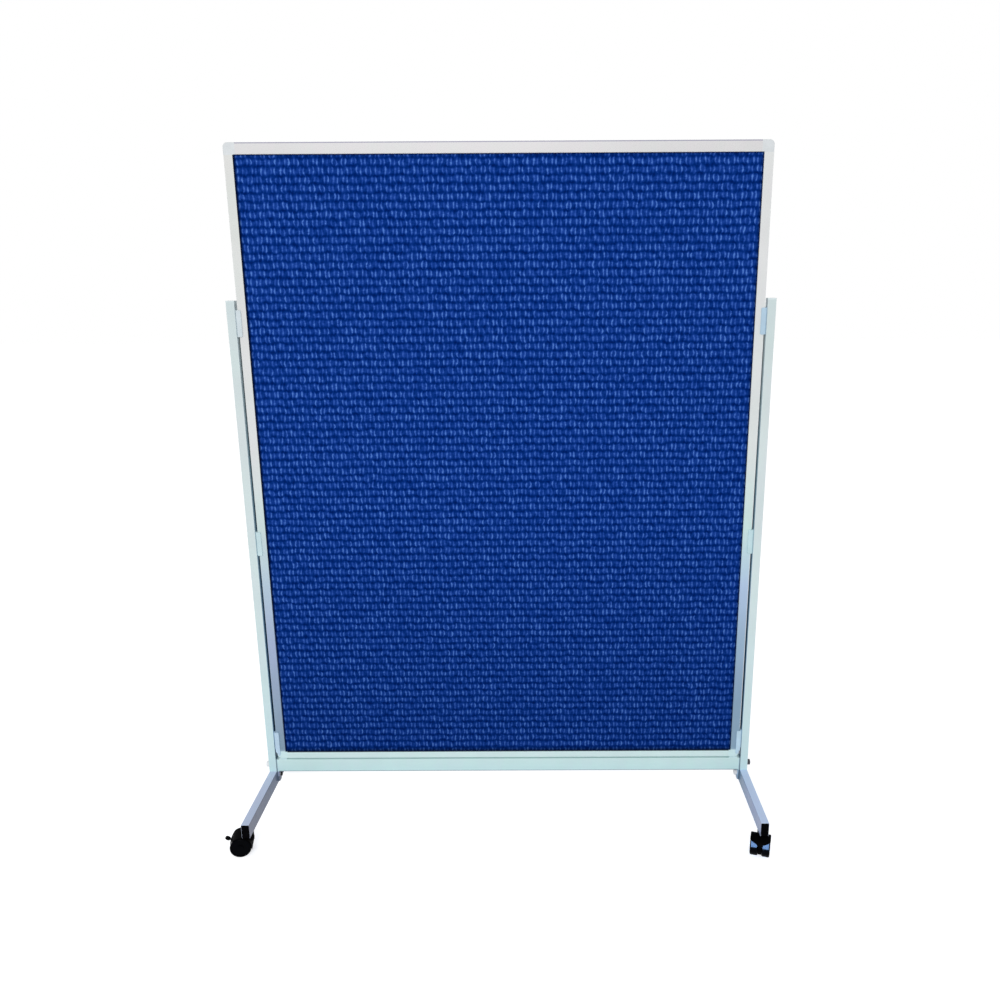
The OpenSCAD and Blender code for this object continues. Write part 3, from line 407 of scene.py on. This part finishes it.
cloth_w, cloth_h, cloth_thick, cloth_y, cloth_middle_z = 1.180, 1.480, 0.0006, 0.0079, 0.878
pressed_side, pressed_low, pressed_high, pressed_by = 0.571, -0.724, 0.717, 0.0003
for side, name in ((-1, "cloth_front"), (1, "cloth_back")):
    bpy.ops.object.select_all(action="DESELECT")
    bpy.ops.mesh.primitive_grid_add(x_subdivisions=64, y_subdivisions=80, size=1, location=(0, 0, 0))
    cloth = bpy.context.object
    cloth.name = "stretched_" + name
    bpy.ops.object.mode_set(mode="EDIT")
    bpy.ops.mesh.select_all(action="SELECT")
    bpy.ops.transform.resize(value=(cloth_w, cloth_h, 1), center_override=(0, 0, 0))
    bpy.ops.mesh.select_all(action="DESELECT")
    bpy.ops.mesh.select_mode(type="VERT")
    bpy.ops.object.mode_set(mode="OBJECT")
    # The rim is pressed down along the lips by three tenths of a millimetre.
    for vertex in cloth.data.vertices:
        vertex.select = abs(vertex.co.x) > pressed_side or not pressed_low <= vertex.co.y <= pressed_high
    bpy.ops.object.mode_set(mode="EDIT")
    bpy.ops.transform.translate(value=(0, 0, -pressed_by))
    bpy.ops.mesh.select_all(action="SELECT")
    bpy.ops.object.mode_set(mode="OBJECT")
    cloth.rotation_euler = (radians(90), 0, 0 if side < 0 else radians(180))
    cloth.location = (0, side * cloth_y, cloth_middle_z)
    bpy.ops.object.transform_apply(location=True, rotation=True, scale=True)
    thickness = cloth.modifiers.new("thickness", "SOLIDIFY")
    thickness.thickness = cloth_thick
    thickness.offset = -1
    bpy.ops.object.modifier_apply(modifier="thickness")
    cloth.data.materials.clear()
    cloth.data.materials.append(wool)
    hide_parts(name)
    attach(cloth, "stand")

# ---- Pads under the panel ----
# Two small moulded rubber pads, dull and faintly grained. They sit on the crossbar near its ends, carry the panel and
# leave a thin dark gap between them.
dress(["seat_pads"], moulded("rubber_pad", "#CDE9EC", rough=0.7, grain=0.3))

# ---- Uprights, crossbar and feet ----
# Drawn steel tube, powder-coated the same pale colour: it reads mint in front and lavender on top of the feet. The
# uprights stand on the feet, beside the crossbar, and flat caps close their tops. The inner sides of the uprights and
# feet carry painted shade, deepest low down on the uprights and deeper on the left foot than on the right.
tube_edges = (0.6062, 0.6248)
inner_side_shade = (0.60, 0.6064)
dress(["upright_left", "upright_right"],
      enamel("powder_coat_upright", [(0.08, "#CAE7EB"), (0.5, "#D4E5E6"), (1.0, "#D4DEDE"), (1.3, "#CBD9D9")],
             edges=tube_edges,
             sides=[(*inner_side_shade, [(0.125, "#3A5A6E"), (0.138, "#3A5A6E"), (0.2, "#8FB0C8"), (0.5, "#9CBACC"),
                                   (0.9, "#ADC0C8"), (1.28, "#C0CED2")], "Z")]))
dress(["upright_cap_left", "upright_cap_right"], moulded("abs_upright_cap", "#D6E2E4"))
# A dark band of painted shade runs along the crossbar's lower edge.
dress(["crossbar"],
      enamel("powder_coat_crossbar",
             [(0.0885, "#6F838F"), (0.0910, "#8497A2"), (0.0916, "#CBECED"), (0.124, "#D1ECEB")]))
# The plates at the crossbar's ends carry painted shade below it, the left one more than the right, and a dark seam of
# painted shade where they meet the uprights.
plate_seam_shade = (0.6030, 0.606, [(0.059, "#5C6C7A"), (0.0885, "#66788A"), (0.09, "#809AA6"), (0.124, "#86A0AA")], "Z")
for plate, tip_low, tip_high, shade_low, shade_high in (("left", "#4F5C73", "#4C5B76", "#98A4C2", "#9CA8C6"),
                                                        ("right", "#87A2C0", "#90AECA", "#9CBCDA", "#A0C0DC")):
    dress(["crossbar_plate_" + plate],
          enamel("powder_coat_plate_" + plate,
                 [(0.059, tip_low), (0.0735, tip_high), (0.0765, shade_low), (0.0885, shade_high),
                  (0.0895, "#C8E8EC"), (0.124, "#CCEAEC")], sides=[plate_seam_shade]))
# The feet's lavender tone, lighter towards their tops, is painted light on the same mint coat.
dress(["foot_left"],
      enamel("powder_coat_foot_left", [(0.05, "#B9C3DB"), (0.09, "#C7D5EC")], edges=tube_edges,
             sides=[(*inner_side_shade, [(-0.24, "#7B7E8E"), (-0.02, "#5B6983"), (0.24, "#7B7E8E")], "Y")]))
dress(["foot_right"],
      enamel("powder_coat_foot_right", [(0.05, "#BECAE7"), (0.09, "#CCE0FC")], edges=tube_edges,
             sides=[(*inner_side_shade, [(-0.24, "#A7B4D4"), (-0.1, "#7C94BE"), (-0.02, "#6081A0"), (0.1, "#7C94BE"),
                                   (0.24, "#A7B4D4")], "Y")]))
dress(["foot_cap_front_left", "foot_cap_front_right", "foot_cap_rear_left", "foot_cap_rear_right", "castor_sockets"],
      moulded("polypropylene_black", "#040406", rough=0.5, gloss=0.01))

# ---- Rubbing strips ----
# A guess: thin felt, glued to the uprights' inner sides between the clips, where only a dark line shows in the gap
# beside the panel, paler higher up. The strips stand for it, dull and dark, and their tone, darker low down and paler
# higher up, is painted shade.
strip_thick, strip_deep, strip_round, face_share = 0.0016, 0.0115, 0.0004, 0.95
glue_x = 0.6056
felt = emptied(bpy.data.materials.new("grey_green_felt"))
felt_place = add(felt, "ShaderNodeTexCoord").outputs["Object"]
felt_axes = add(felt, "ShaderNodeSeparateXYZ", links={0: felt_place})
felt_height = add(felt, "ShaderNodeMapRange", {"From Min": 0.2, "From Max": 1.2}, {"Value": felt_axes.outputs["Z"]})
felt_tone_and_shade = add(felt, "ShaderNodeValToRGB",
                {"stops": [(0.0, linear("#2A4A62")), (0.15, linear("#22455F")), (0.3, linear("#3E5F78")),
                           (0.7, linear("#6C8894")), (1.0, linear("#97A3A6"))]}, {"Fac": felt_height})
# Matted fibres, about 0.7 mm across, break up the tone and the light.
felt_fibres = add(felt, "ShaderNodeTexNoise", {"Scale": 1400.0, "Detail": 4.0, "Roughness": 0.7},
                  {"Vector": felt_place})
felt_shade = add(felt, "ShaderNodeMapRange", {"From Min": 0.3, "From Max": 0.7, "To Min": 0.75, "To Max": 1.25},
                 {"Value": felt_fibres})
felt_colour = add(felt, "ShaderNodeMix", {"data_type": "RGBA", "blend_type": "MULTIPLY", "Factor": 1.0},
                  {6: felt_tone_and_shade.outputs["Color"], 7: felt_shade})
felt_bump = add(felt, "ShaderNodeBump", {"Strength": 0.5, "Distance": 0.0003}, {"Height": felt_fibres})
felt_surface = add(felt, "ShaderNodeBsdfPrincipled", {"Roughness": 0.95, "Specular IOR Level": 0.05},
                   {"Base Color": felt_colour.outputs[2], "Normal": felt_bump})
add(felt, "ShaderNodeOutputMaterial", links={"Surface": felt_surface})
for span, low, high in (("lower", 0.2035, 0.6835), ("upper", 0.7445, 1.2105)):
    bpy.ops.object.select_all(action="DESELECT")
    bpy.ops.mesh.primitive_cube_add(size=1, location=(0, 0, 0))
    strip = bpy.context.object
    bpy.ops.object.mode_set(mode="EDIT")
    bpy.ops.mesh.select_all(action="SELECT")
    bpy.ops.transform.resize(value=(strip_thick, strip_deep, high - low), center_override=(0, 0, 0))
    bpy.ops.mesh.bevel(offset=strip_round, segments=3)
    # The glued back of the felt is a little wider than its face.
    bpy.ops.mesh.select_all(action="DESELECT")
    bpy.ops.object.mode_set(mode="OBJECT")
    for vertex in strip.data.vertices:
        vertex.select = vertex.co.x < -strip_thick / 4
    bpy.ops.object.mode_set(mode="EDIT")
    bpy.ops.transform.resize(value=(1, face_share, 1), center_override=(0, 0, 0))
    bpy.ops.mesh.select_all(action="SELECT")
    bpy.ops.transform.translate(value=(glue_x - strip_thick / 2, 0, (low + high) / 2))
    bpy.ops.object.mode_set(mode="OBJECT")
    bpy.ops.object.shade_smooth_by_angle(angle=radians(35))
    strip.data.materials.append(felt)
    strip.name = "rubbing_strip_%s_right" % span
    bpy.ops.object.duplicate()
    left_strip = bpy.context.object
    left_strip.name = "rubbing_strip_%s_left" % span
    left_strip.rotation_euler = (0, 0, radians(180))
    bpy.ops.object.transform_apply(location=True, rotation=True, scale=True)
    for piece in (strip, left_strip):
        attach(piece, "stand")

# ---- Clips and their screws ----
# Pale blue channels moulded in polyamide, screwed to the uprights, that grip the stiles. Each is painted with the light
# and shade of its own place, so their tones differ. The screws are zinc-plated steel, and their metal shows fine
# streaks and small changes in gloss.
for clip, colour in (("top_left", "#CBD6DB"), ("top_right", "#AFCADD"), ("middle_left", "#C6DEE3"),
                     ("middle_right", "#C1DEE4"), ("bottom_left", "#C1DBEF"), ("bottom_right", "#BEDBED")):
    dress(["clip_" + clip], moulded("polyamide_clip_" + clip, colour, rough=0.45))
streak_mm = 0.6
zinc = emptied(bpy.data.materials.new("zinc_plated_steel"))
zinc_place = add(zinc, "ShaderNodeTexCoord").outputs["Object"]
streaks = add(zinc, "ShaderNodeTexNoise", {"Scale": 1000 / streak_mm, "Detail": 2.0}, {"Vector": zinc_place})
zinc_rough = add(zinc, "ShaderNodeMapRange", {"To Min": 0.27, "To Max": 0.43}, {"Value": streaks})
zinc_bump = add(zinc, "ShaderNodeBump", {"Strength": 0.1, "Distance": 0.00005}, {"Height": streaks})
zinc_surface = add(zinc, "ShaderNodeBsdfPrincipled", {"Base Color": linear("#B9BCC0"), "Metallic": 1.0},
                   {"Roughness": zinc_rough, "Normal": zinc_bump})
add(zinc, "ShaderNodeOutputMaterial", links={"Surface": zinc_surface})
dress(["clip_screws", "frame_washers", "frame_nuts"], zinc)

# ---- Frame bolts and their covers ----
# Blackened steel bolts tie crossbar, uprights and feet. Their black skin is as dull and even as a moulding's. Covers of
# white polythene snap over all but one of them. The upper cover on the right is painted dark grey as shade.
# Painted shade: the cover on the right above this height is darkened to dark grey.
shaded_cover_from_z = 0.092
dress(["frame_bolts"], moulded("blackened_bolt", "#0C0D10", rough=0.4, gloss=0.2))
cover = moulded("polythene_cover", "#EEF0F2", rough=0.35)
cover_surface = next(n for n in cover.node_tree.nodes if n.type == "BSDF_PRINCIPLED")
cover_place = add(cover, "ShaderNodeTexCoord").outputs["Object"]
cover_axes = add(cover, "ShaderNodeSeparateXYZ", links={0: cover_place})
on_right = add(cover, "ShaderNodeMath", {"operation": "GREATER_THAN", 1: 0.0}, {0: cover_axes.outputs["X"]})
on_top = add(cover, "ShaderNodeMath", {"operation": "GREATER_THAN", 1: shaded_cover_from_z},
             {0: cover_axes.outputs["Z"]})
shaded_cover = add(cover, "ShaderNodeMath", {"operation": "MULTIPLY"}, {0: on_right, 1: on_top})
cover_tone = add(cover, "ShaderNodeMix", {"data_type": "RGBA", 7: linear("#30343C")},
                 {"Factor": shaded_cover, 6: cover_surface.inputs["Base Color"].links[0].from_socket})
cover.node_tree.links.new(cover_tone.outputs[2], cover_surface.inputs["Base Color"])
dress(["bolt_covers"], cover)

# ---- Castors ----
# Twin-wheel castors of black polyamide on steel stems and axles, two with a brake lever. The plastic is set duller
# than it really is. The photograph has blue marks on the front right castor and none on the front left one. A tall
# blue lamp makes them: it adds gloss alone, and only to the wheels of the other three castors.
castors = ("front_left", "front_right", "rear_left", "rear_right")
dress(["castor_hood_" + c for c in castors] + ["brake_lever_front_left", "brake_lever_rear_right"],
      moulded("polyamide_hood_black", "#040405", rough=0.45, gloss=0.01))
wheels = ["castor_wheel_%s_%s" % (w, c) for w in "ab" for c in castors]
dress(wheels, moulded("polyamide_wheel_black", "#040508", rough=0.17, grain=0.05, gloss=0.015))
dress(["castor_%s_%s" % (p, c) for p in ("stem", "axle") for c in castors], zinc)
window = area_lamp("window", place=(0.2, -1.7, 1.1), aim=(0.6, -0.25, 0.03), width=2.6, height=2.9, watts=10500)
window.data.color = (0.26, 0.5, 1.0)
window.visible_diffuse = False
treads = bpy.data.collections.new("treads")
for wheel in wheels:
    if not wheel.endswith("front_left"):
        treads.objects.link(nodes[wheel])
window.light_linking.receiver_collection = treads
